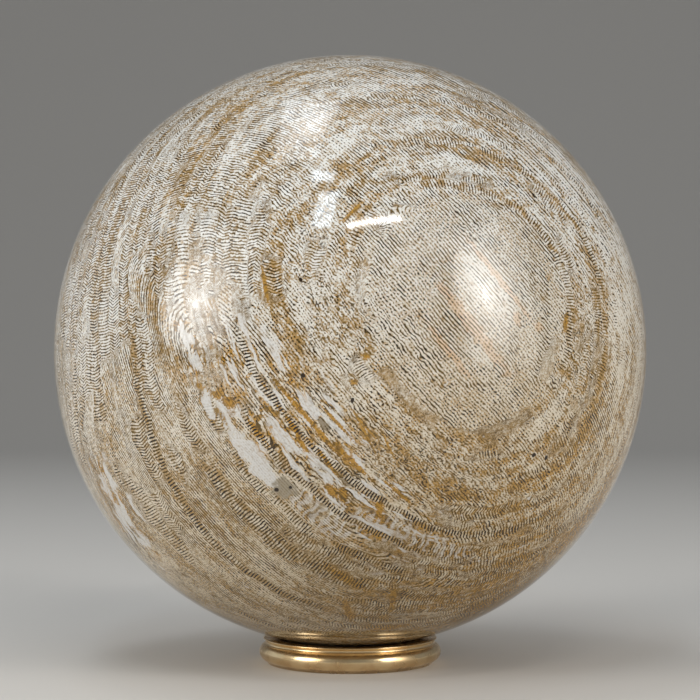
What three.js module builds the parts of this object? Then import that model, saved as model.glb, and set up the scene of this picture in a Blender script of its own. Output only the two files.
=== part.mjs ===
// A polished sphere of fossil goniopora coral, resting on a low turned brass ring.
// Millimetres, +Z up. The origin is on the table, at the centre of the ring's foot.

import * as THREE from "three";

// Driving dimensions
const SPHERE_RADIUS = 81;
const STAND_RADIUS = 25;
const STAND_HEIGHT = 7;

// The ring's section: a fat bead near the foot, a short neck above it and a flat top.
const BEAD_ROUND = 2.5;
const BEAD_HEIGHT = 3.1;
// Where the bead's round begins above the foot and ends at the neck, in degrees
const BEAD_START = -75;
const BEAD_END = 62;
const FOOT_INNER_RADIUS = 20.7;
const FOOT_OUTER_RADIUS = 22.7;
const NECK_RADIUS = 23.3;
const TOP_RADIUS = 23.9;
const TOP_ROUND = 0.3;
const BORE_RADIUS = 19.9;
const BORE_CHAMFER = 0.8;

// The sphere rests on the rounded inner edge of the ring's top.
const SEAT_ROUND = 0.4;
// The two pieces only touch, so a hair's gap keeps their facets apart.
const REST_GAP = 0.3;

// Facets
const SPHERE_DETAIL = 15;
const RING_SEGMENTS = 64;
const BEAD_STEPS = 10;
const NECK_STEPS = 4;
const EDGE_STEPS = 3;

const coralMaterial = new THREE.MeshStandardMaterial({ color: 0xc9b698, roughness: 0.12, metalness: 0 });
const brassMaterial = new THREE.MeshStandardMaterial({ color: 0xd3a85c, roughness: 0.18, metalness: 1 });

const bead = new THREE.Vector2(STAND_RADIUS - BEAD_ROUND, BEAD_HEIGHT);
const topEdge = new THREE.Vector2(TOP_RADIUS - TOP_ROUND, STAND_HEIGHT - TOP_ROUND);
const seat = new THREE.Vector2(BORE_RADIUS + SEAT_ROUND, STAND_HEIGHT - SEAT_ROUND);

// Points along an arc in the ring's section, from one angle in degrees to another.
function arc(centre, radius, from, to, steps) {
  return Array.from({ length: steps + 1 }, (_, i) => {
    const angle = THREE.MathUtils.degToRad(from + ((to - from) * i) / steps);
    return new THREE.Vector2(centre.x + radius * Math.cos(angle), centre.y + radius * Math.sin(angle));
  });
}

// The neck, a curve between the bead and the top that dips to the neck's radius.
function neck(start, end) {
  const dip = new THREE.Vector2(2 * NECK_RADIUS - (start.x + end.x) / 2, (start.y + end.y) / 2);
  return new THREE.QuadraticBezierCurve(start, dip, end).getPoints(NECK_STEPS).slice(1, -1);
}

// The ring's section, from the flat foot up the outside, over the top and down the bore.
function ringSection() {
  const outside = arc(bead, BEAD_ROUND, BEAD_START, BEAD_END, BEAD_STEPS);
  const outerEdge = arc(topEdge, TOP_ROUND, 0, 90, EDGE_STEPS);
  const innerEdge = arc(seat, SEAT_ROUND, 90, 180, EDGE_STEPS);
  return [
    new THREE.Vector2(FOOT_INNER_RADIUS, 0),
    new THREE.Vector2(FOOT_OUTER_RADIUS, 0),
    ...outside,
    ...neck(outside.at(-1), outerEdge[0]),
    ...outerEdge,
    ...innerEdge,
    new THREE.Vector2(BORE_RADIUS, BORE_CHAMFER),
    new THREE.Vector2(FOOT_INNER_RADIUS, 0),
  ];
}

function ringStand() {
  const geometry = new THREE.LatheGeometry(ringSection(), RING_SEGMENTS);
  geometry.rotateX(Math.PI / 2);
  const mesh = new THREE.Mesh(geometry, brassMaterial);
  mesh.name = "ring_stand";
  return mesh;
}

// The sphere touches the rounded seat all the way round.
function coralSphere() {
  const geometry = new THREE.IcosahedronGeometry(SPHERE_RADIUS, SPHERE_DETAIL);
  const mesh = new THREE.Mesh(geometry, coralMaterial);
  mesh.name = "coral_sphere";
  const reach = SPHERE_RADIUS + SEAT_ROUND + REST_GAP;
  mesh.position.z = seat.y + Math.sqrt(reach ** 2 - seat.x ** 2);
  return mesh;
}

const model = new THREE.Group();
model.add(ringStand(), coralSphere());

export default model;
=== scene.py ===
import math
from collections import namedtuple
from functools import reduce
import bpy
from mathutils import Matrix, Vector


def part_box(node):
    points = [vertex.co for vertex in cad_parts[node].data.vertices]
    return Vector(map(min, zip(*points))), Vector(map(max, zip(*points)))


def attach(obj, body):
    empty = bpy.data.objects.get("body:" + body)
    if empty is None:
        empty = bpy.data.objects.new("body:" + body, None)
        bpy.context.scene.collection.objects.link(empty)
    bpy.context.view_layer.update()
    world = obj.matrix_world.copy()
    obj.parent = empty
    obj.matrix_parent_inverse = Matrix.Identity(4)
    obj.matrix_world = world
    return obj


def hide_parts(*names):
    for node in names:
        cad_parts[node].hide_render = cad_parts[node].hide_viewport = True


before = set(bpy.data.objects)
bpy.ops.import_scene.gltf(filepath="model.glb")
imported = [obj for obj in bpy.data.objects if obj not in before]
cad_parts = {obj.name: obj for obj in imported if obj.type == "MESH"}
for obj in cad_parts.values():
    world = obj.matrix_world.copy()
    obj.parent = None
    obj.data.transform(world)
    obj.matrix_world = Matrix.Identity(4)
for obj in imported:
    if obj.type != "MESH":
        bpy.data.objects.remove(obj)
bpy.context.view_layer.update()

from types import SimpleNamespace

import bmesh
import bpy
import numpy as np
from mathutils import Quaternion, Vector

# Sizes from the frame, in metres

MM = 0.001
sphere_low, sphere_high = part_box("coral_sphere")
ring_low, ring_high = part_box("ring_stand")
SPHERE_RADIUS = (sphere_high.x - sphere_low.x) / 2
SPHERE_CENTRE = (sphere_low + sphere_high) / 2
RING_RADIUS = (ring_high.x - ring_low.x) / 2
RING_HEIGHT = ring_high.z

# The picture's frame, and the sphere's outline in it, in pixels

PICTURE_SIZE = 700
OUTLINE_CENTRE = (350.1, 351.0)
OUTLINE_RADIUS = 296.2

# Camera, level with the sphere's centre

CAMERA_DISTANCE = 7.2 * SPHERE_RADIUS
FOCAL_PIXELS = OUTLINE_RADIUS / math.tan(math.asin(SPHERE_RADIUS / CAMERA_DISTANCE))
SENSOR_WIDTH = 36.0
# Where the camera stands, in sphere radii from the sphere's centre
VIEWPOINT = np.array([0.0, -CAMERA_DISTANCE / SPHERE_RADIUS, 0.0])


def add_camera():
    data = bpy.data.cameras.new("camera")
    data.sensor_width = SENSOR_WIDTH
    data.sensor_fit = "HORIZONTAL"
    data.lens = FOCAL_PIXELS * SENSOR_WIDTH / PICTURE_SIZE
    data.shift_x = (PICTURE_SIZE / 2 - OUTLINE_CENTRE[0]) / PICTURE_SIZE
    data.shift_y = (OUTLINE_CENTRE[1] - PICTURE_SIZE / 2) / PICTURE_SIZE
    camera = bpy.data.objects.new("camera", data)
    camera.location = SPHERE_CENTRE + Vector((0, -CAMERA_DISTANCE, 0))
    camera.rotation_euler = (math.pi / 2, 0, 0)
    bpy.context.scene.collection.objects.link(camera)
    bpy.context.scene.camera = camera


def unit(v):
    return v / np.linalg.norm(v, axis=-1, keepdims=True)


def sight(x, y):
    """Unit direction from the camera through a pixel of the picture."""
    across = (x - OUTLINE_CENTRE[0]) / FOCAL_PIXELS
    up = (OUTLINE_CENTRE[1] - y) / FOCAL_PIXELS
    return unit(np.array([across, 1.0, up]))


def seen(x, y):
    """Unit direction from the sphere's centre to the point of its surface that shows at a pixel."""
    ray = sight(x, y)
    b = ray @ VIEWPOINT
    reach = -b - math.sqrt(max(b * b - (VIEWPOINT @ VIEWPOINT - 1), 0))
    return unit(VIEWPOINT + ray * reach)


# Lights: softboxes, each placed by the pixel where the sphere mirrors it

LIGHT_DISTANCE = 1.0
NEUTRAL = (1.0, 0.97, 0.93)
DAYLIGHT = (0.84, 0.92, 1.0)
SKY = (0.72, 0.87, 1.0)
# Widths and heights are in metres at LIGHT_DISTANCE, and turns in degrees
Softbox = namedtuple("Softbox", "name pixel width height radiance colour turn")
SOFTBOXES = [
    Softbox("overhead", (335, 120), 1.7, 0.9, 0.30, DAYLIGHT, 0.0),
    Softbox("top_box", (303, 128), 0.60, 0.24, 3.2, DAYLIGHT, 8.0),
    Softbox("window_low", (325, 209), 0.11, 0.27, 9.5, SKY, 0.0),
    Softbox("window_high", (324, 176), 0.12, 0.08, 11.0, SKY, 0.0),
    Softbox("strip", (374, 221), 0.34, 0.034, 32.0, NEUTRAL, 6.0),
    Softbox("left_box", (202, 285), 0.60, 0.70, 2.1, NEUTRAL, 0.0),
    Softbox("right_box", (500, 308), 0.56, 1.05, 1.8, NEUTRAL, 0.0),
    Softbox("left_fill", (92, 320), 0.9, 1.2, 0.35, DAYLIGHT, 0.0),
]
# Round lamps behind a cloth: each is brightest in the middle and fades outwards
Glow = namedtuple("Glow", "name pixel width height radiance colour")
GLOWS = [
    Glow("left_glow", (196, 303), 0.54, 0.60, 72.0, NEUTRAL),
    Glow("right_glow", (486, 293), 0.44, 0.64, 66.0, NEUTRAL),
    Glow("top_glow", (309, 127), 0.34, 0.17, 42.0, NEUTRAL),
]
# Each glow is made of this many ellipses inside each other, crowded towards the middle
GLOW_STEPS = 5
GLOW_CROWDING = 1.3
# Faint light from all round
WORLD_COLOUR = (0.94, 0.97, 1.0)
WORLD_STRENGTH = 0.24


def add_area(name, pixel, shape, width, height, radiance, colour, turn=0.0):
    """A lamp that stands where the sphere mirrors it to the camera at a pixel."""
    normal = seen(*pixel)
    ray = sight(*pixel)
    mirrored = unit(ray - 2 * (ray @ normal) * normal)
    shown_at = SPHERE_CENTRE + Vector(normal * SPHERE_RADIUS)
    data = bpy.data.lights.new(name, "AREA")
    data.shape = shape
    data.size = width
    data.size_y = height
    filled = math.pi / 4 if shape == "ELLIPSE" else 1
    data.energy = radiance * math.pi * width * height * filled
    data.color = colour
    light = bpy.data.objects.new(name, data)
    light.location = shown_at + Vector(mirrored) * LIGHT_DISTANCE
    facing = Vector(mirrored).to_track_quat("Z", "Y")
    light.rotation_euler = (facing @ Quaternion((0, 0, 1), math.radians(turn))).to_euler()
    bpy.context.scene.collection.objects.link(light)


def add_lights():
    for box in SOFTBOXES:
        add_area(box.name, box.pixel, "RECTANGLE",
                 box.width, box.height, box.radiance, box.colour, box.turn)
    for glow in GLOWS:
        for step in range(1, GLOW_STEPS + 1):
            share = (step / GLOW_STEPS) ** GLOW_CROWDING
            radiance = glow.radiance / GLOW_STEPS / step
            add_area(f"{glow.name}_{step}", glow.pixel, "ELLIPSE",
                     glow.width * share, glow.height * share, radiance, glow.colour)


def add_world():
    world = bpy.data.worlds.new("studio")
    world.use_nodes = True
    background = world.node_tree.nodes["Background"]
    background.inputs["Color"].default_value = (*WORLD_COLOUR, 1)
    background.inputs["Strength"].default_value = WORLD_STRENGTH
    bpy.context.scene.world = world


# Node arithmetic

# How far each seed moves a noise, in grains, and how far it moves a list of random values
SEED_STEP = (3.17, 7.71, -5.43)
SEED_GAP = 57.31


class Num:
    """A number at each point of a material. It works with + - * / and the functions below."""

    def __init__(self, tree, socket):
        self.tree = tree
        self.socket = socket

    def __add__(self, other):
        return calculate("ADD", self, other)

    def __sub__(self, other):
        return calculate("SUBTRACT", self, other)

    def __mul__(self, other):
        return calculate("MULTIPLY", self, other)

    def __truediv__(self, other):
        return calculate("DIVIDE", self, other)

    def __rsub__(self, other):
        return calculate("SUBTRACT", other, self)

    __radd__ = __add__
    __rmul__ = __mul__


def plug(tree, socket, value):
    """Gives a node's input a number, a colour or another node's output."""
    if isinstance(value, Num):
        tree.links.new(value.socket, socket)
    elif isinstance(value, bpy.types.NodeSocket):
        tree.links.new(value, socket)
    elif isinstance(value, (tuple, list)) and len(value) == 3 and socket.type == "RGBA":
        socket.default_value = (*value, 1)
    else:
        socket.default_value = value


def calculate(operation, *values):
    tree = next(v.tree for v in values if isinstance(v, Num))
    node = tree.nodes.new("ShaderNodeMath")
    node.operation = operation
    for socket, value in zip(node.inputs, values):
        plug(tree, socket, value)
    return Num(tree, node.outputs[0])


def highest(a, b):
    return calculate("MAXIMUM", a, b)


def ramp(start, end, value):
    """0 before start and 1 after end, with a smooth change between, in either direction."""
    node = value.tree.nodes.new("ShaderNodeMapRange")
    node.interpolation_type = "SMOOTHSTEP"
    plug(value.tree, node.inputs["Value"], value)
    node.inputs["From Min"].default_value = start
    node.inputs["From Max"].default_value = end
    return Num(value.tree, node.outputs["Result"])


def bump_at(value, centre, width):
    """1 where value is at centre, falling to 0 about two widths away."""
    return calculate("EXPONENT", calculate("POWER", (value - centre) / width, 2.0) * -1.0)


def stripes(cycles):
    """0 to 1 and back over each whole cycle, with 1 at whole numbers."""
    return calculate("COSINE", cycles * math.tau) * 0.5 + 0.5


def zigzag(cycles):
    """-1 to 1 and back in straight lines over each whole cycle."""
    return calculate("PINGPONG", cycles, 0.5) * 4.0 - 1.0


def random_by(number, seed):
    """A random value from 0 to 1 for each whole number."""
    node = number.tree.nodes.new("ShaderNodeTexWhiteNoise")
    node.noise_dimensions = "1D"
    plug(number.tree, node.inputs["W"], calculate("FLOOR", number) + seed * SEED_GAP)
    return Num(number.tree, node.outputs["Value"])


def attribute(tree, name):
    node = tree.nodes.new("ShaderNodeAttribute")
    node.attribute_name = name
    return Num(tree, node.outputs["Fac"])


def place(tree):
    """The point's place in the piece's own frame, in metres."""
    return tree.nodes.new("ShaderNodeTexCoord").outputs["Object"]


def parts_of(tree, vector):
    node = tree.nodes.new("ShaderNodeSeparateXYZ")
    tree.links.new(vector, node.inputs[0])
    return [Num(tree, s) for s in node.outputs]


def joined(tree, x, y, z):
    node = tree.nodes.new("ShaderNodeCombineXYZ")
    for socket, value in zip(node.inputs, (x, y, z)):
        plug(tree, socket, value)
    return node.outputs[0]


def along(tree, vector, axis):
    """How far a vector reaches along a fixed axis."""
    node = tree.nodes.new("ShaderNodeVectorMath")
    node.operation = "DOT_PRODUCT"
    tree.links.new(vector, node.inputs[0])
    node.inputs[1].default_value = tuple(axis)
    return Num(tree, node.outputs["Value"])


def distance_to(tree, vector, target):
    """How far a vector is from a fixed point."""
    node = tree.nodes.new("ShaderNodeVectorMath")
    node.operation = "DISTANCE"
    tree.links.new(vector, node.inputs[0])
    node.inputs[1].default_value = tuple(target)
    return Num(tree, node.outputs["Value"])


def noise(tree, vector, grain, seed=0, octaves=1.0):
    """Smooth noise about 0, with lumps about one grain across, in the vector's own units."""
    shift = tree.nodes.new("ShaderNodeVectorMath")
    shift.operation = "ADD"
    tree.links.new(vector, shift.inputs[0])
    shift.inputs[1].default_value = tuple(seed * step * grain for step in SEED_STEP)
    node = tree.nodes.new("ShaderNodeTexNoise")
    node.normalize = False
    node.inputs["Scale"].default_value = 1 / grain
    node.inputs["Detail"].default_value = octaves - 1
    tree.links.new(shift.outputs[0], node.inputs["Vector"])
    return Num(tree, node.outputs["Fac"])


def blend(tree, share, first, second):
    """A colour that goes from first to second as share goes from 0 to 1."""
    node = tree.nodes.new("ShaderNodeMix")
    node.data_type = "RGBA"
    plug(tree, node.inputs["Factor"], share)
    plug(tree, node.inputs["A"], first)
    plug(tree, node.inputs["B"], second)
    return node.outputs["Result"]


def new_material(name):
    material = bpy.data.materials.new(name)
    material.use_nodes = True
    return material, material.node_tree, material.node_tree.nodes["Principled BSDF"]


# How the coral grew: smooth fields over the sphere, worked out at each corner of its mesh

def polar(longitude, latitude):
    """Unit direction, with longitude from the front to the right and latitude upwards, in degrees."""
    lon, lat = math.radians(longitude), math.radians(latitude)
    return np.array([math.sin(lon) * math.cos(lat), -math.cos(lon) * math.cos(lat), math.sin(lat)])


# The growth lines ring one eye, to the right of the front's middle and a little above it
EYE = polar(21.8, 8.5)
EYE_RIGHT = unit(np.cross((0, 0, 1), EYE))
EYE_UP = np.cross(EYE, EYE_RIGHT)

# Growth lines: how far each lies from the eye, in degrees, and the pixels that it passes through
GrowthLine = namedtuple("GrowthLine", "name level pixels")
GROWTH_LINES = [
    GrowthLine("inner ring", 22.2, [
        (375, 203), (400, 190), (450, 187), (500, 198), (530, 215), (550, 240), (565, 280),
        (566, 322), (545, 382), (520, 415), (500, 445), (460, 455)]),
    GrowthLine("outer ring", 32.4, [
        (345, 165), (365, 158), (400, 147), (450, 149), (500, 160), (545, 188), (565, 215), (590, 250),
        (607, 320), (595, 400), (565, 460), (530, 490), (480, 497), (400, 455), (310, 370), (287, 310),
        (265, 270)]),
    GrowthLine("main ladder", 40.8, [
        (205, 225), (232, 301), (252, 350), (285, 399), (322, 440), (346, 469), (387, 501), (433, 520),
        (462, 532), (496, 543), (575, 505)]),
    GrowthLine("second ladder", 46.3, [
        (186, 300), (198, 335), (214, 362), (228, 391), (257, 425), (277, 449), (297, 468), (315, 484),
        (340, 505), (400, 545)]),
    GrowthLine("fourth ladder", 56.5, [
        (168, 415), (194, 459), (212, 478), (228, 504), (248, 522), (267, 536), (277, 542), (330, 575)]),
    GrowthLine("third ladder", 65.7, [
        (200, 120), (165, 165), (140, 220), (139, 300), (145, 350), (157, 397), (161, 429), (169, 468),
        (188, 510), (200, 530), (240, 570), (270, 595)]),
    GrowthLine("top arc", 44.0, [
        (262, 118), (300, 97), (350, 97), (400, 96), (450, 103), (500, 122), (545, 155)]),
    GrowthLine("left limb", 80.0, [
        (128, 170), (104, 230), (92, 290), (88, 350), (86, 410), (92, 470), (115, 515), (150, 570)]),
]
# How far a line's point draws the levels around it, in sphere radii, and how firmly they resist
GROWTH_REACH = 0.15
GROWTH_STIFFNESS = 0.35


def growth_at(n):
    """Angle from the eye in degrees, bent so that it keeps its level along each growth line."""
    plain = np.degrees(np.arccos(np.clip(n @ EYE, -1, 1)))
    bend = np.zeros(len(n))
    weight = np.full(len(n), GROWTH_STIFFNESS)
    for line in GROWTH_LINES:
        for pixel in line.pixels:
            point = seen(*pixel)
            share = np.exp((n @ point - 1) / GROWTH_REACH ** 2)
            bend += share * (line.level - math.degrees(math.acos(point @ EYE)))
            weight += share
    return plain + bend / weight


# The fine lines keep their distance from a spine that the head grew along. Its ends stand in front of the
# surface, these many sphere radii from the centre.
SPINE_START_REACH = 1.18
SPINE_END_REACH = 1.25
SPINE_START = seen(175, 304) * SPINE_START_REACH
SPINE_END = seen(437, 583) * SPINE_END_REACH


def spine_at(n):
    """How far from the spine, along it and to its left each point lies, in millimetres."""
    way = SPINE_END - SPINE_START
    length = np.linalg.norm(way)
    way = way / length
    reach = (n - SPINE_START) @ way
    nearest = np.clip(reach, 0, length)
    distance = np.linalg.norm(n - SPINE_START - nearest[:, None] * way, axis=1)
    run = nearest + distance * np.arcsin(np.clip((reach - nearest) / distance, -1, 1))
    to_left = (SPINE_START - n) @ np.cross(way, (0, 1, 0))
    radius_mm = SPHERE_RADIUS / MM
    return distance * radius_mm, run * radius_mm, to_left * radius_mm


# Lines start this far apart, in millimetres, and from a given distance from the spine they stand wider
# by this share for each millimetre. To the left of the spine they widen from the spine on.
LINE_SPACING = 0.76
WIDENS_AFTER = 80.0
WIDENING = 0.03
LEFT_LINE_SPACING = 0.56
LEFT_WIDENING = 0.007
# The left side of the spine begins and is full at these distances to its left, in millimetres
LEFT_SIDE = (-4, 10)


def smooth_step(start, end, value):
    t = np.clip((value - start) / (end - start), 0, 1)
    return t * t * (3 - 2 * t)


def line_count_at(distance, to_left):
    """How many fine lines lie between the spine and each point. They stand wider towards the back."""
    beyond = np.maximum(distance - WIDENS_AFTER, 0)
    widened = np.log1p(beyond * WIDENING) / WIDENING
    right = (np.minimum(distance, WIDENS_AFTER) + widened) / LINE_SPACING
    left = np.log1p(distance * LEFT_WIDENING) / LEFT_WIDENING / LEFT_LINE_SPACING
    share = smooth_step(*LEFT_SIDE, to_left)
    return right * (1 - share) + left * share


# Patches of the surface, each a soft oval on the picture: its middle, length, width and slope.
# Pixels, and degrees anticlockwise from the picture's right.
Patch = namedtuple("Patch", "x y length width slope")
# The patches fade out behind the silhouette, between these places along +Y, in sphere radii
BEHIND = (-0.1, 0.25)


def patches_at(n, patches):
    """1 in the middle of each patch, falling softly to 0 outside and towards the back."""
    cover = np.zeros(len(n))
    front = 1 - smooth_step(*BEHIND, n[:, 1])
    for patch in patches:
        middle = seen(patch.x, patch.y)
        slope = math.radians(patch.slope)
        lengthways = (n - middle) @ np.array([math.cos(slope), 0, math.sin(slope)]) * OUTLINE_RADIUS
        crossways = (n - middle) @ np.array([-math.sin(slope), 0, math.cos(slope)]) * OUTLINE_RADIUS
        far = (lengthways / patch.length * 2) ** 2 + (crossways / patch.width * 2) ** 2
        cover = np.maximum(cover, np.exp(-far * math.log(2)) * front)
    return cover


# Where rungs take the place of lines
RUNG_PATCHES = [
    Patch(112, 250, 360, 120, 84),
    Patch(196, 240, 190, 60, 100),
    Patch(405, 528, 190, 40, 155),
    Patch(395, 566, 110, 40, 165),
    Patch(200, 360, 60, 40, 100),
    Patch(405, 612, 170, 46, 5),
]

# Where the coral is jumbled, and shows specks and short strokes
JUMBLED_PATCHES = [
    Patch(330, 300, 220, 80, 118),
    Patch(300, 215, 120, 70, 100),
    Patch(430, 470, 240, 60, 165),
    Patch(575, 360, 200, 45, 78),
    Patch(325, 600, 110, 40, 175),
    Patch(240, 90, 170, 50, 30),
    Patch(205, 372, 60, 40, 110),
]

# Where white and amber streaks lie along the growth lines
STREAKED_PATCHES = [
    Patch(300, 430, 250, 72, 128),
    Patch(262, 400, 120, 50, 125),
    Patch(395, 505, 90, 34, 150),
    Patch(122, 512, 110, 30, 120),
    Patch(190, 350, 60, 26, 112),
]

# Where white and amber bars lie across the growth bands
BARRED_PATCHES = [
    Patch(322, 512, 70, 26, 150),
    Patch(385, 528, 110, 24, 158),
    Patch(440, 548, 60, 14, 162),
]

# Where the eye is pale, and the peach streaks that cross it
PALE_PATCHES = [
    Patch(490, 288, 74, 34, 122),
    Patch(482, 355, 34, 12, 150),
]
BLUSHES = [
    Patch(500, 280, 84, 5, 129),
    Patch(473, 327, 90, 11, 129),
    Patch(448, 350, 60, 6, 129),
    Patch(517, 318, 12, 7, 100),
    Patch(539, 327, 9, 8, 0),
]

# White lenses between the ladders
LENSES = [
    Patch(254, 455, 64, 17, 128),
    Patch(243, 417, 34, 12, 145),
    Patch(208, 402, 26, 9, 105),
    Patch(222, 404, 20, 9, 120),
    Patch(281, 436, 40, 10, 132),
    Patch(311, 456, 42, 10, 118),
    Patch(309, 404, 34, 9, 125),
    Patch(327, 478, 26, 9, 115),
    Patch(352, 458, 30, 8, 130),
    Patch(262, 392, 40, 7, 127),
    Patch(337, 420, 34, 7, 133),
    Patch(186, 338, 20, 12, 112),
    Patch(196, 362, 22, 9, 120),
    Patch(105, 485, 26, 12, 110),
    Patch(124, 515, 26, 10, 120),
    Patch(144, 540, 24, 10, 125),
]

# Amber stains
STAINS = [
    Patch(308, 419, 90, 5, 131),
    Patch(352, 461, 46, 5, 135),
    Patch(365, 426, 50, 3, 130),
    Patch(395, 490, 44, 3, 140),
    Patch(366, 357, 8, 6, 0),
    Patch(353, 382, 8, 6, 0),
    Patch(292, 425, 34, 4, 124),
    Patch(326, 460, 40, 4, 125),
    Patch(338, 424, 50, 3, 132),
    Patch(217, 395, 10, 8, 0),
    Patch(229, 404, 11, 8, 130),
    Patch(258, 432, 34, 4, 128),
    Patch(331, 490, 16, 9, 150),
    Patch(343, 494, 14, 8, 95),
    Patch(379, 508, 20, 8, 95),
    Patch(300, 440, 30, 4, 120),
    Patch(366, 435, 44, 3, 118),
    Patch(388, 445, 34, 3, 115),
    Patch(566, 322, 18, 5, 80),
    Patch(352, 212, 30, 4, 45),
    Patch(265, 285, 34, 4, 100),
    Patch(345, 578, 52, 9, 145),
    Patch(393, 598, 40, 7, 85),
    Patch(348, 610, 30, 8, 110),
    Patch(388, 628, 40, 5, 10),
]

# A pocket of earthy stone, and small pits, at pixels of the picture. The pits are not cut into the mesh:
# each is a dark spot of painted shade.
EARTH_POCKET = Patch(284, 490, 24, 19, 20)
POCKET_RADIUS = 2.9 * MM
POCKET_DEPTH = 0.2 * MM
PITS = [(276.5, 490), (290, 488), (303, 376), (301, 280), (352, 400), (534, 455), (546, 458)]
PIT_RADIUS = 0.6 * MM


# The coral sphere

# Faces along a side of the cube that the sphere starts from
SPHERE_GRID = 126
# How strongly the corners are crowded towards the front, from 0 to less than 1
FRONT_CROWDING = 0.45


def sphere_mesh(grid):
    """A sphere from the six sides of a cube, with its corners crowded towards the front."""
    steps = np.tan(np.linspace(-math.pi / 4, math.pi / 4, grid + 1))
    build = bmesh.new()
    bmesh.ops.create_cube(build, size=2)
    bmesh.ops.subdivide_edges(build, edges=build.edges[:], cuts=grid - 1, use_grid_fill=True)
    mesh = bpy.data.meshes.new("coral_sphere")
    build.to_mesh(mesh)
    build.free()
    flat = np.zeros(len(mesh.vertices) * 3)
    mesh.vertices.foreach_get("co", flat)
    index = np.rint((flat.reshape(-1, 3) + 1) / 2 * grid).astype(int)
    n = unit(steps[index])
    front_angle = np.arccos(np.clip(-n[:, 1], -1, 1))
    crowded = front_angle - FRONT_CROWDING * np.sin(front_angle)
    around = np.arctan2(n[:, 2], n[:, 0])
    across = np.sin(crowded)
    n = np.stack([across * np.cos(around), -np.cos(crowded), across * np.sin(around)], axis=1)
    depth = patches_at(n, [EARTH_POCKET]) * POCKET_DEPTH
    mesh.vertices.foreach_set("co", (n * (SPHERE_RADIUS - depth)[:, None]).ravel())
    mesh.update()
    return mesh, n


# Fields that are drawn from patches
PATCH_FIELDS = {
    "rung_share": RUNG_PATCHES,
    "jumble": JUMBLED_PATCHES,
    "streaked": STREAKED_PATCHES,
    "barred": BARRED_PATCHES,
    "pale": PALE_PATCHES,
    "blush": BLUSHES,
    "lens": LENSES,
    "stain": STAINS,
}
# How strong two of them are at the back, and where along +Y that begins and is full, in sphere radii
HIDDEN_STRENGTH = {"rung_share": 0.4, "jumble": 0.3}
HIDDEN = (-0.1, 0.5)


def coral_fields(n):
    """The smooth fields that the coral's pattern is drawn from, by name."""
    distance, run, to_left = spine_at(n)
    fields = {
        "growth": growth_at(n),
        "lines": line_count_at(distance, to_left),
        "run": run,
        "left": smooth_step(*LEFT_SIDE, to_left),
    }
    hidden = smooth_step(*HIDDEN, n[:, 1])
    for name, patches in PATCH_FIELDS.items():
        fields[name] = np.maximum(patches_at(n, patches), hidden * HIDDEN_STRENGTH.get(name, 0))
    return fields


def add_coral():
    mesh, n = sphere_mesh(SPHERE_GRID)
    for name, values in coral_fields(n).items():
        mesh.attributes.new(name, "FLOAT", "POINT").data.foreach_set("value", values.astype(np.float32))
    mesh.shade_smooth()
    mesh.materials.append(coral_material())
    coral = bpy.data.objects.new("polished_coral", mesh)
    coral.location = SPHERE_CENTRE
    bpy.context.scene.collection.objects.link(coral)
    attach(coral, "root")
    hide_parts("coral_sphere")


# Coral material: colours

CREAM = (0.49, 0.405, 0.275)
# The cool cream and the cool white are the cream and the warm white in painted cool light, for the top
CREAM_IN_COOL_LIGHT = (0.50, 0.455, 0.385)
WARM_WHITE = (0.62, 0.53, 0.395)
WHITE_IN_COOL_LIGHT = (0.63, 0.625, 0.595)
LILAC = (0.59, 0.58, 0.56)
TAN = (0.34, 0.255, 0.15)
PEACH = (0.60, 0.40, 0.24)
AMBER = (0.38, 0.19, 0.009)
DULL_AMBER = (0.31, 0.20, 0.075)
DEEP_AMBER = (0.15, 0.072, 0.003)
OLIVE = (0.10, 0.058, 0.008)
DARK = (0.016, 0.008, 0.001)
GAP_DARK = (0.006, 0.003, 0.001)
EARTH = (0.24, 0.20, 0.135)
POLISH_ROUGHNESS = 0.08
CORAL_IOR = 1.54

# Coral material: sizes and places

# Across the growth, in degrees from the eye
BAND_WIDTH = 2.9
EYE_EDGE = (18.0, 23.0)
RUNGS_WIDEN = (46.0, 54.0)
BAR_LEVEL = 50.0
KINK_EVERY = 6.5
SMALL_KINK_EVERY = 2.3
MM_PER_DEGREE = 1.41

# Along the surface, in millimetres
RUNG_SPACING = 0.76
WIDE_RUNG_SPACING = 0.78
LADDER_RUNG_SPACING = 0.84
BAR_SPACING = 2.4
DASH_LENGTH = 0.98

# How far a band's rungs can lean over from its middle to its edge, in rungs, either way together
CHEVRON_REACH = 3.2

# Grains of the noises, and of the specks
WIDE_GRAIN = 9 * MM
MIDDLING_GRAIN = 2.6 * MM
FINE_GRAIN = 1.1 * MM
SMALL_GRAIN = 0.45 * MM
SPECK_GRAIN = 0.48 * MM
SWELL_GRAIN = 11 * MM
SMALL_SWELL_GRAIN = 3.5 * MM
MESS_GRAIN = 14 * MM
WORN_GRAIN = 6 * MM
GAP_GRAIN = 5 * MM
BROKEN_GRAIN = 4 * MM
SPECKLED_GRAIN = 5 * MM
INK_GRAIN = 3 * MM

# Heights over which the lower half grows browner and darker, partly its own warmer tone and partly painted
# shade, the underside darker still as painted shade, and the top cooler as painted cool light, in
# millimetres from the sphere's centre
LOW_TONE_AND_SHADE_HEIGHTS = (15.0, -60.0)
UNDERSIDE_SHADE_HEIGHTS = (-45.0, -80.0)
PAINTED_COOL_LIGHT_HEIGHTS = (-60.0, 40.0)
# The lines are plain and pale near the sphere's sides: how far to the right and to the left that begins and
# is full
PLAIN_RIGHT = (60.0, 74.0)
PLAIN_LEFT = (-68.0, -78.0)
# The lower right is richest in amber, and its amber is the brightest: how far to the right that begins and
# is full
AMBER_SIDE = (-40.0, 30.0)
GOLD_SIDE = (-20.0, 30.0)

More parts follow.
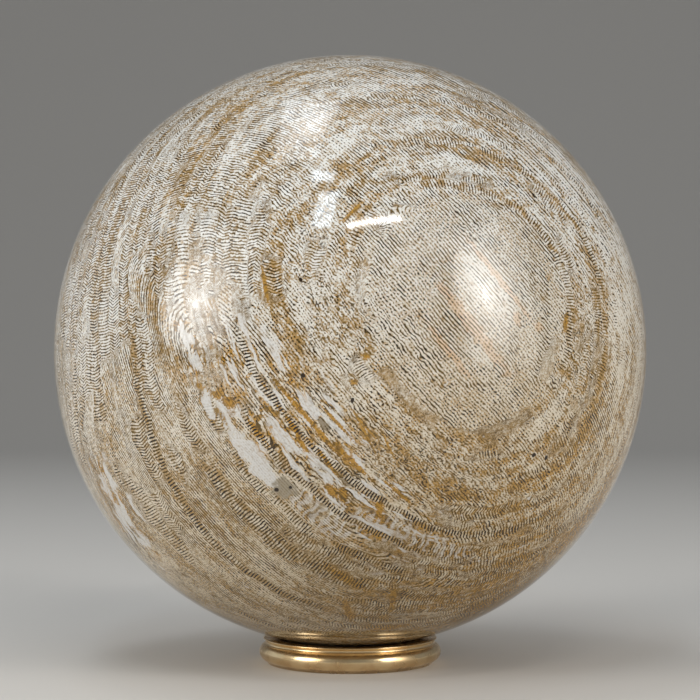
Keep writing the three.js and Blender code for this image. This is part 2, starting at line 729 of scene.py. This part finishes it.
# The value at which each feature begins to show, and the value at which it is full
PATCH_EDGE = (0.25, 0.6)
RUNG_EDGE = (0.16, 0.24)
LENS_EDGE = (0.42, 0.62)
RIM_EDGE = (0.15, 0.35)
PALE_STREAK_EDGE = (0.08, 0.22)
AMBER_STREAK_FLOW = -0.02
AMBER_STREAK_WIDTH = 0.06
THREAD_EDGE = (0.10, 0.30)
WHITE_BAR_EDGE = (0.45, 0.75)
AMBER_BAR_EDGE = (0.45, 0.15)
STAIN_EDGE = (0.30, 0.58)
BLUSH_EDGE = (0.25, 0.65)
PALE_EDGE = (0.2, 0.8)
MARK_EDGE = (0.54, 0.78)
SPECK_EDGE = (0.04, 0.36)
SPECKLED_EDGE = (0.65, 1.0)
SEAM_EDGE = (0.72, 0.98)
AMBER_EDGE = (0.20, 0.56)
WHITE_EDGE = (0.26, -0.16)
POCKET_EDGE = (1.20, 0.65)
PIT_EDGE = (1.1, 0.7)

# Strips of rungs along the growth lines: level and half width, start and end round the eye in radians,
# and how dark the gaps between the rungs are
Ladder = namedtuple("Ladder", "level half_width start end darkness")
LADDERS = [
    Ladder(40.8, 0.58, -3.05, -1.1, 1.0),
    Ladder(46.3, 0.54, -2.75, -1.6, 0.8),
    Ladder(56.5, 1.30, -2.60, -1.75, 0.4),
    Ladder(65.7, 0.75, -3.10, -1.9, 0.6),
    Ladder(51.5, 0.70, -2.60, -1.7, 0.4),
    Ladder(22.2, 0.95, -0.6, 2.7, 0.0),
    Ladder(32.4, 0.90, -0.5, 2.5, 0.0),
    Ladder(44.0, 0.70, 0.3, 2.2, 0.0),
    Ladder(36.5, 0.60, -0.3, 1.6, 0.0),
]
# A strip fades out between these shares of its half width, and over this turn at its ends
LADDER_SIDES = (1.15, 0.8)
LADDER_END_FADE = 0.1
# As the stripes rise from 0 to 1, where a gap between two rungs begins and where it is fully dark
GAP_EDGE = (0.38, 0.68)

# Growth levels that are richer or poorer in amber than the rest
RichBand = namedtuple("RichBand", "level width strength")
RICH_BANDS = [
    RichBand(22.2, 1.6, 0.22),
    RichBand(32.4, 1.5, 0.22),
    RichBand(65.7, 1.2, 0.22),
    RichBand(56.5, 1.8, 0.22),
    RichBand(27.3, 1.8, -0.12),
    RichBand(37.5, 1.6, -0.12),
]


# Coral material: the pattern, one step after another. Each step reads fields of f and adds its own.
# A number beside a field is how much it counts, and a ramp's numbers are where it begins and is full.

def surface_fields(tree):
    """What every step reads at a point: its place, how the coral grew there, and four noises."""
    f = SimpleNamespace(tree=tree, point=place(tree))
    f.side, _, f.height = (v / MM for v in parts_of(tree, f.point))
    f.around = calculate("ARCTAN2", along(tree, f.point, EYE_UP), along(tree, f.point, EYE_RIGHT))
    f.left = attribute(tree, "left")
    f.jumble = attribute(tree, "jumble")
    f.rung_share = attribute(tree, "rung_share")
    # Towards the bottom: the lower half's own warmer tone together with painted shade, then painted shade
    # alone on the underside
    f.low = ramp(*LOW_TONE_AND_SHADE_HEIGHTS, f.height)
    f.deep = ramp(*UNDERSIDE_SHADE_HEIGHTS, f.height)
    # Cooler towards the top and the left: painted cool light from above
    f.cool = ramp(*PAINTED_COOL_LIGHT_HEIGHTS, f.height - f.side * 0.2)
    f.wide = noise(tree, f.point, WIDE_GRAIN, seed=5)
    f.middling = noise(tree, f.point, MIDDLING_GRAIN, seed=6)
    f.fine = noise(tree, f.point, FINE_GRAIN, seed=7)
    f.grain = noise(tree, f.point, SMALL_GRAIN, seed=13)
    f.mess = f.jumble * 0.6 + ramp(-0.2, 0.5, noise(tree, f.point, MESS_GRAIN, seed=14)) * 0.5
    swell = noise(tree, f.point, SWELL_GRAIN, seed=4) * 0.7
    swell = swell + noise(tree, f.point, SMALL_SWELL_GRAIN, seed=3) * 0.5
    f.growth = attribute(tree, "growth") + swell + f.fine * 0.12
    f.outside_eye = ramp(*EYE_EDGE, f.growth)
    return f


def rough(f, wide=0.0, middling=0.0, fine=0.0, grain=0.0):
    """The coral's noises added together, each by its own weight."""
    weights = ((f.wide, wide), (f.middling, middling), (f.fine, fine), (f.grain, grain))
    terms = [field * weight for field, weight in weights if weight]
    return sum(terms[1:], terms[0])


def band_noise(f, step, length, seed):
    """Noise that takes this step from band to band, and changes over this length within one, in mm."""
    return noise(f.tree, joined(f.tree, f.band * step, f.side / length, f.height / length), 1.0, seed)


def streak_noise(f, width, turns, seed):
    """Noise in streaks along the growth lines: their width in degrees, and how many to a radian."""
    return noise(f.tree, joined(f.tree, f.growth / width, f.around * turns, 0.0), 1.0, seed)


def rungs_across(around, level, spacing):
    """Rungs about the eye, a whole number of them, so that they meet where the turn begins again."""
    from_eye = calculate("SINE", calculate("RADIANS", level))
    total = calculate("ROUND", from_eye * (math.tau * SPHERE_RADIUS / MM) / spacing)
    return around * total / math.tau


def rungs_at(around, level, spacing):
    """The same for one fixed level."""
    total = round(math.tau * SPHERE_RADIUS / MM * math.sin(math.radians(level)) / spacing)
    return around * (total / math.tau)


def add_bands(f):
    """Growth bands, each with its own tone and its own chance that rungs cross it."""
    f.cell = f.growth / BAND_WIDTH + f.wide * 0.35
    f.band = calculate("FLOOR", f.cell)
    f.edge = calculate("ABSOLUTE", f.cell - f.band - 0.5) * 2.0
    f.band_chance = band_noise(f, 3.7, 20.0, seed=15)
    f.band_tone = band_noise(f, 5.3, 26.0, seed=16) * f.outside_eye
    f.streaked = ramp(*PATCH_EDGE, attribute(f.tree, "streaked") + f.middling * 0.3)
    chance = f.band_chance + f.rung_share * 0.75 + f.middling * 0.08 - 0.12
    crossing = ramp(*RUNG_EDGE, chance) * f.outside_eye * ramp(1.0, 0.8, f.edge - f.rung_share * 0.5)
    f.crossing = crossing * (1.0 - f.streaked)
    f.flow = streak_noise(f, 1.05, 5.6, seed=41) + f.fine * 0.10
    f.thread = streak_noise(f, 0.42, 7.0, seed=42)
    f.arcs = streak_noise(f, 0.85, 6.0, seed=43) * f.outside_eye


def add_counts(f):
    """How many lines or rungs lie before each point, and how far along its line it lies."""
    kink = zigzag(f.growth / KINK_EVERY + 0.25) * (f.left * 0.4 + 0.1)
    kink = kink + zigzag(f.growth / SMALL_KINK_EVERY) * (f.jumble * 0.3)
    wobble = f.wide * 0.35 + f.middling * (f.mess * 0.7 + 0.12) + f.fine * (f.mess * 0.45 + 0.12)
    lines = attribute(f.tree, "lines") + kink + wobble
    widened = ramp(*RUNGS_WIDEN, f.band * BAND_WIDTH)
    spacing = widened * (WIDE_RUNG_SPACING - RUNG_SPACING) + RUNG_SPACING
    chevron = f.edge * ((random_by(f.cell, 2) - 0.5) * CHEVRON_REACH)
    rungs = rungs_across(f.around, (f.band + 0.5) * BAND_WIDTH, spacing) + chevron + wobble * 0.8
    f.count = lines * (1.0 - f.crossing) + rungs * f.crossing
    f.run = attribute(f.tree, "run") * (1.0 - f.crossing) + f.growth * (MM_PER_DEGREE * f.crossing)


def add_ladders(f):
    """Thin lines, with ladders of rungs laid over them and dark gaps between the rungs."""
    f.line = stripes(f.count)
    strips = []
    gaps = []
    for number, kind in enumerate(LADDERS):
        rungs = rungs_at(f.around, kind.level, LADDER_RUNG_SPACING)
        rung = stripes(rungs + rough(f, middling=0.35, fine=0.15))
        across = calculate("ABSOLUTE", (f.growth - kind.level) / kind.half_width)
        strip = ramp(*LADDER_SIDES, across + f.fine * 0.5)
        strip = strip * ramp(kind.start - LADDER_END_FADE, kind.start + LADDER_END_FADE, f.around)
        strip = strip * ramp(kind.end + LADDER_END_FADE, kind.end - LADDER_END_FADE, f.around)
        worn = noise(f.tree, f.point, WORN_GRAIN, seed=60 + number) + kind.darkness * 0.3
        strip = strip * ramp(-0.35, -0.1, worn)
        f.line = f.line * (1.0 - strip) + rung * strip
        strips.append(strip)
        if kind.darkness:
            gate = ramp(-0.2, 0.25, noise(f.tree, f.point, GAP_GRAIN, seed=80 + number)) * 0.7 + 0.3
            gaps.append(strip * gate * ramp(*GAP_EDGE, rung + f.grain * 0.3) * kind.darkness)
    f.ladder = reduce(highest, strips)
    f.dark_gaps = reduce(highest, gaps)


def add_dashes(f):
    """How strongly each line is broken into dashes."""
    f.dash = stripes(f.run / DASH_LENGTH + random_by(f.count + 0.5, 1) + rough(f, middling=0.8, fine=0.3))
    drawn_out = joined(f.tree, f.growth * 0.55, f.side / 14.0, f.height / 14.0)
    f.streak = noise(f.tree, drawn_out, 1.0, seed=8)
    uneven = f.streak + noise(f.tree, f.point, BROKEN_GRAIN, seed=9) * 0.5
    broken = ramp(-0.25, 0.25, uneven + f.jumble * 0.15 - f.crossing * 0.5) * (1.0 - f.ladder)
    f.broken = broken * 0.45 + 0.12


def add_marks(f):
    """The dark marks: lines of uneven weight, and specks where the coral is jumbled."""
    f.pale = ramp(*PALE_EDGE, attribute(f.tree, "pale") + f.middling * 0.3)
    f.plain = highest(ramp(*PLAIN_RIGHT, f.side), ramp(*PLAIN_LEFT, f.side) * 0.4)
    f.seam = ramp(*SEAM_EDGE, f.edge + f.fine * 0.3) * f.rung_share * ramp(-0.2, 0.2, f.band_chance)
    ragged = noise(f.tree, joined(f.tree, f.count * 0.8, f.run / 1.5, 0.0), 1.0, seed=17)
    weight = f.dark_gaps * 0.30 - f.pale * 0.13 - f.plain * 0.25 + f.seam * 0.35
    weight = weight + f.band_tone * 0.10 + f.arcs * 0.16
    weight = weight + f.fine * (f.mess * 0.25 + 0.06) + f.grain * 0.22 + ragged * 0.28
    mark = ramp(*MARK_EDGE, f.line + weight - f.broken * (1.0 - f.dash))
    dots = noise(f.tree, f.point, SPECK_GRAIN, seed=11)
    specks = ramp(*SPECK_EDGE, dots + (f.line - 0.5) * 0.4) * 0.9
    patchy = f.jumble + noise(f.tree, f.point, SPECKLED_GRAIN, seed=12) * 0.6
    speckled = ramp(*SPECKLED_EDGE, patchy) * (1.0 - f.ladder)
    f.mark = mark * (1.0 - speckled) + specks * speckled


def add_lenses(f):
    """White lenses with a rim, white and amber streaks along the growth, and bars across it."""
    cover = attribute(f.tree, "lens") + rough(f, middling=0.35, fine=0.2)
    lens = ramp(*LENS_EDGE, cover + f.flow * 0.5 + f.grain * 0.2)
    f.rim = ramp(*RIM_EDGE, cover) * (1.0 - lens)
    pale_streak = ramp(*PALE_STREAK_EDGE, f.flow + f.grain * 0.1 - ramp(-0.1, 0.3, f.thread) * 0.25)
    lens = highest(lens, pale_streak * f.streaked) * (1.0 - f.ladder)
    bar = stripes(rungs_at(f.around, BAR_LEVEL, BAR_SPACING) + rough(f, middling=0.75, fine=0.2))
    f.barred = ramp(*PATCH_EDGE, attribute(f.tree, "barred") + f.middling * 0.3) * (1.0 - f.ladder)
    f.lens = highest(lens, ramp(*WHITE_BAR_EDGE, bar) * f.barred * 0.65)
    f.amber_bar = ramp(*AMBER_BAR_EDGE, bar) * f.barred * ramp(-0.3, 0.2, f.fine + f.wide) * 0.8
    f.amber_streak = bump_at(f.flow + f.fine * 0.1, AMBER_STREAK_FLOW, AMBER_STREAK_WIDTH)
    f.amber_streak = f.amber_streak * f.streaked * ramp(-0.25, 0.15, f.wide)
    f.threads = ramp(*THREAD_EDGE, f.thread + f.fine * 0.3) * f.streaked * (1.0 - f.ladder)


def richness(f):
    """How rich in amber each place is."""
    rich = f.band_tone * 0.42 + rough(f, wide=0.13, middling=0.05) + f.arcs * 0.42
    for band in RICH_BANDS:
        rich = rich + bump_at(f.growth, band.level, band.width) * band.strength
    rich = rich + f.crossing * (1.0 - f.rung_share) * 0.10 + f.ladder * (f.streak * 0.5 + 0.08)
    rich = rich + f.seam * 0.45 - f.plain * 0.2
    return rich + f.low * 0.03 + f.low * ramp(*AMBER_SIDE, f.side) * 0.33


def add_amber(f):
    """Amber gathers along the dark marks, more of it where the coral is rich."""
    mottle = noise(f.tree, joined(f.tree, f.run / 2.6, f.count * 0.6, f.growth * 0.3), 1.0, seed=31)
    f.tint = richness(f) * 0.7 + f.line * 0.40 + mottle * (f.outside_eye * 0.24 + 0.16)
    f.tint = f.tint + f.fine * (f.outside_eye * 0.22 + 0.08)
    most = f.outside_eye * 0.20 + 0.68 - f.streaked * 0.12 - f.left * 0.12
    amber = highest(ramp(*AMBER_EDGE, f.tint + f.grain * 0.40) * most, f.amber_bar)
    amber = highest(amber, f.rim * ramp(-0.1, 0.3, f.fine + f.middling) * 0.9) * (1.0 - f.lens)
    stain = attribute(f.tree, "stain")
    ragged = rough(f, middling=0.25, fine=0.3, grain=0.3) - ramp(-0.1, 0.3, f.flow) * 0.15
    f.stained = ramp(*STAIN_EDGE, stain + ragged)
    f.amber = highest(amber, highest(f.amber_streak * 0.85, f.stained * 0.95))
    lower_right = f.low * ramp(*GOLD_SIDE, f.side) * 0.5 + 0.45
    f.gold = highest(highest(f.streaked, f.barred), highest(stain, lower_right))


def ground_colour(f):
    """Cream and tan, whiter in places, with peach streaks and lilac lenses. Low down it is tan and less
    white, partly as painted shade, and towards the top cool as painted cool light.
    """
    tree = f.tree
    tan_and_shade = ramp(-0.5, 0.6, rough(f, wide=1.0, middling=0.5)) * (f.outside_eye * 0.35 + 0.15)
    # More tan and less white low down: partly the lower half's own tone, partly painted shade, and painted
    # shade alone on the underside
    tan_and_shade = tan_and_shade + f.low * 0.28 + f.deep * 0.4
    white = ramp(*WHITE_EDGE, f.tint + f.grain * 0.7) * (1.0 - f.low * 0.2 - f.deep * 0.4)
    white = highest(white, f.pale * 0.8)
    # Cream and white turn cool towards the top: painted cool light
    colour = blend(tree, tan_and_shade, blend(tree, f.cool, CREAM, CREAM_IN_COOL_LIGHT), TAN)
    colour = blend(tree, white, colour, blend(tree, f.cool, WARM_WHITE, WHITE_IN_COOL_LIGHT))
    blush = ramp(*BLUSH_EDGE, attribute(tree, "blush") + rough(f, fine=0.35, middling=0.15))
    colour = blend(tree, blush * 0.5, colour, PEACH)
    clouded = ramp(0.0, 0.4, rough(f, grain=1.0, fine=0.4)) * 0.35
    return blend(tree, f.lens * (0.95 - clouded), colour, LILAC)


def marked_colour(f, colour):
    """The ground with its amber, its olive threads and its dark marks."""
    tree = f.tree
    bright_amber = blend(tree, ramp(0.0, 0.5, f.fine + f.grain), AMBER, DEEP_AMBER)
    colour = blend(tree, f.amber, colour, blend(tree, f.gold, DULL_AMBER, bright_amber))
    thread_colour = blend(tree, ramp(-0.3, 0.3, f.wide), OLIVE, AMBER)
    colour = blend(tree, f.threads * (1.0 - f.lens * 0.7) * 0.7, colour, thread_colour)
    darkness = noise(tree, f.point, INK_GRAIN, seed=33) + f.grain * 0.6
    ink = blend(tree, ramp(-0.25, 0.35, darkness), OLIVE, DARK)
    shown = (0.97 - f.lens * 0.80) * (1.0 - f.stained * 0.4 * (1.0 - f.ladder))
    colour = blend(tree, f.mark * shown, colour, ink)
    return blend(tree, f.dark_gaps, colour, GAP_DARK)


def pitted_colour(f, colour):
    """The pocket of earthy stone and the pits, over everything else. Each pit is a dark spot of painted
    shade.
    """
    tree = f.tree
    pocket = seen(EARTH_POCKET.x, EARTH_POCKET.y) * SPHERE_RADIUS
    away = distance_to(tree, f.point, pocket) / POCKET_RADIUS
    cover = ramp(*POCKET_EDGE, away + rough(f, middling=0.45, fine=0.5, grain=0.3))
    colour = blend(tree, cover * 0.85, colour, EARTH)
    # Each pit: painted shade of a small hole, a dark spot with no hole in the mesh
    for pit in PITS:
        away = distance_to(tree, f.point, seen(*pit) * SPHERE_RADIUS) / PIT_RADIUS
        colour = blend(tree, ramp(*PIT_EDGE, away + f.fine * 0.8), colour, DARK)
    return colour


def coral_material():
    material, tree, shader = new_material("coral")
    f = surface_fields(tree)
    for step in (add_bands, add_counts, add_ladders, add_dashes, add_marks, add_lenses, add_amber):
        step(f)
    colour = pitted_colour(f, marked_colour(f, ground_colour(f)))
    tree.links.new(colour, shader.inputs["Base Color"])
    shader.inputs["Roughness"].default_value = POLISH_ROUGHNESS
    shader.inputs["IOR"].default_value = CORAL_IOR
    return material


# Ring stand

RING_SIDES = 256
BEAD_STEPS = 44
NECK_STEPS = 14
EDGE_STEPS = 8
# Where the bead's round begins above the foot and ends at the neck, in degrees
BEAD_START = -75
BEAD_END = 62
BEAD_ROUND = 2.5 * MM
BEAD_HEIGHT = 3.1 * MM
FOOT_INNER_RADIUS = 20.7 * MM
FOOT_OUTER_RADIUS = 22.7 * MM
NECK_RADIUS = 23.3 * MM
TOP_RADIUS = 23.9 * MM
TOP_ROUND = 0.3 * MM
SEAT_ROUND = 0.4 * MM
BORE_RADIUS = 19.9 * MM
BORE_CHAMFER = 0.8 * MM


def arc(centre, radius, start, end, steps):
    """Points of an arc in the ring's section, with the angles in degrees."""
    angles = np.radians(np.linspace(start, end, steps + 1))
    return [(centre[0] + radius * math.cos(a), centre[1] + radius * math.sin(a)) for a in angles]


def neck(start, end):
    """The neck, a curve between the bead and the top that dips to the neck's radius."""
    dip = (2 * NECK_RADIUS - (start[0] + end[0]) / 2, (start[1] + end[1]) / 2)
    points = []
    for t in np.linspace(0, 1, NECK_STEPS + 1)[1:-1]:
        shares = ((1 - t) ** 2, 2 * t * (1 - t), t * t)
        corners = zip(start, dip, end)
        points.append(tuple(sum(share * x for share, x in zip(shares, corner)) for corner in corners))
    return points


def ring_section():
    """The ring's section, from the flat foot up the outside, over the top and down the bore."""
    bead_centre = (RING_RADIUS - BEAD_ROUND, BEAD_HEIGHT)
    top_centre = (TOP_RADIUS - TOP_ROUND, RING_HEIGHT - TOP_ROUND)
    seat_centre = (BORE_RADIUS + SEAT_ROUND, RING_HEIGHT - SEAT_ROUND)
    outside = arc(bead_centre, BEAD_ROUND, BEAD_START, BEAD_END, BEAD_STEPS)
    outer_edge = arc(top_centre, TOP_ROUND, 0, 90, EDGE_STEPS)
    inner_edge = arc(seat_centre, SEAT_ROUND, 90, 180, EDGE_STEPS)
    bore = [(BORE_RADIUS, BORE_CHAMFER), (FOOT_INNER_RADIUS, 0)]
    foot = [(FOOT_OUTER_RADIUS, 0)]
    return foot + outside + neck(outside[-1], outer_edge[0]) + outer_edge + inner_edge + bore


def add_ring():
    section = ring_section()
    build = bmesh.new()
    rings = []
    for side in range(RING_SIDES):
        turn = math.tau * side / RING_SIDES
        rings.append([build.verts.new((r * math.cos(turn), r * math.sin(turn), z)) for r, z in section])
    for here, after in zip(rings, rings[1:] + rings[:1]):
        for k in range(len(section)):
            following = (k + 1) % len(section)
            build.faces.new((here[k], after[k], after[following], here[following]))
    bmesh.ops.recalc_face_normals(build, faces=build.faces[:])
    mesh = bpy.data.meshes.new("ring")
    build.to_mesh(mesh)
    build.free()
    mesh.shade_smooth()
    mesh.materials.append(brass_material())
    ring = bpy.data.objects.new("brass_ring", mesh)
    bpy.context.scene.collection.objects.link(ring)
    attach(ring, "root")
    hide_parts("ring_stand")


# Brass: its colours, its roughness, and how much rougher the smears are
BRASS = (0.84, 0.64, 0.37)
DULL_BRASS = (0.72, 0.52, 0.28)
BRASS_ROUGHNESS = 0.20
SMEAR_ROUGHNESS = 0.08
SMEAR_GRAIN = 6 * MM


def brass_material():
    """Polished brass, duller and a little rougher in wide smears."""
    material, tree, shader = new_material("brass")
    smear = noise(tree, place(tree), SMEAR_GRAIN, seed=1, octaves=3)
    colour = blend(tree, ramp(-0.3, 0.3, smear), BRASS, DULL_BRASS)
    tree.links.new(colour, shader.inputs["Base Color"])
    shader.inputs["Metallic"].default_value = 1.0
    plug(tree, shader.inputs["Roughness"], ramp(-0.4, 0.5, smear) * SMEAR_ROUGHNESS + BRASS_ROUGHNESS)
    return material


# Studio: a pale sheet that lies flat under the object and sweeps up behind it

# In metres, from the front to the back and then up
SHEET_WIDTH = 6.0
SHEET_FRONT = -3.0
SWEEP_START = 1.2
SWEEP_RADIUS = 1.5
SHEET_TOP = 3.0
SWEEP_STEPS = 40
SHEET_COLOUR = (0.58, 0.56, 0.53)
SHEET_ROUGHNESS = 0.6


def sheet_outline():
    """The sheet from the side: flat, then a quarter turn upwards, then straight up."""
    outline = [(SHEET_FRONT, 0.0)]
    for turn in np.linspace(0, math.pi / 2, SWEEP_STEPS + 1):
        outline.append((SWEEP_START + SWEEP_RADIUS * math.sin(turn), SWEEP_RADIUS * (1 - math.cos(turn))))
    outline.append((SWEEP_START + SWEEP_RADIUS, SHEET_TOP))
    return outline


def add_sheet():
    sides = (-SHEET_WIDTH / 2, SHEET_WIDTH / 2)
    build = bmesh.new()
    rows = [[build.verts.new((x, y, z)) for x in sides] for y, z in sheet_outline()]
    for here, after in zip(rows, rows[1:]):
        build.faces.new((here[0], here[1], after[1], after[0]))
    mesh = bpy.data.meshes.new("sheet")
    build.to_mesh(mesh)
    build.free()
    mesh.shade_smooth()
    sheet = bpy.data.objects.new("sheet", mesh)
    bpy.context.scene.collection.objects.link(sheet)
    material, _, shader = new_material("sheet")
    shader.inputs["Base Color"].default_value = (*SHEET_COLOUR, 1)
    shader.inputs["Roughness"].default_value = SHEET_ROUGHNESS
    mesh.materials.append(material)


add_camera()
add_lights()
add_world()
add_sheet()
add_coral()
add_ring()

bpy.context.scene.view_settings.view_transform = "Standard"
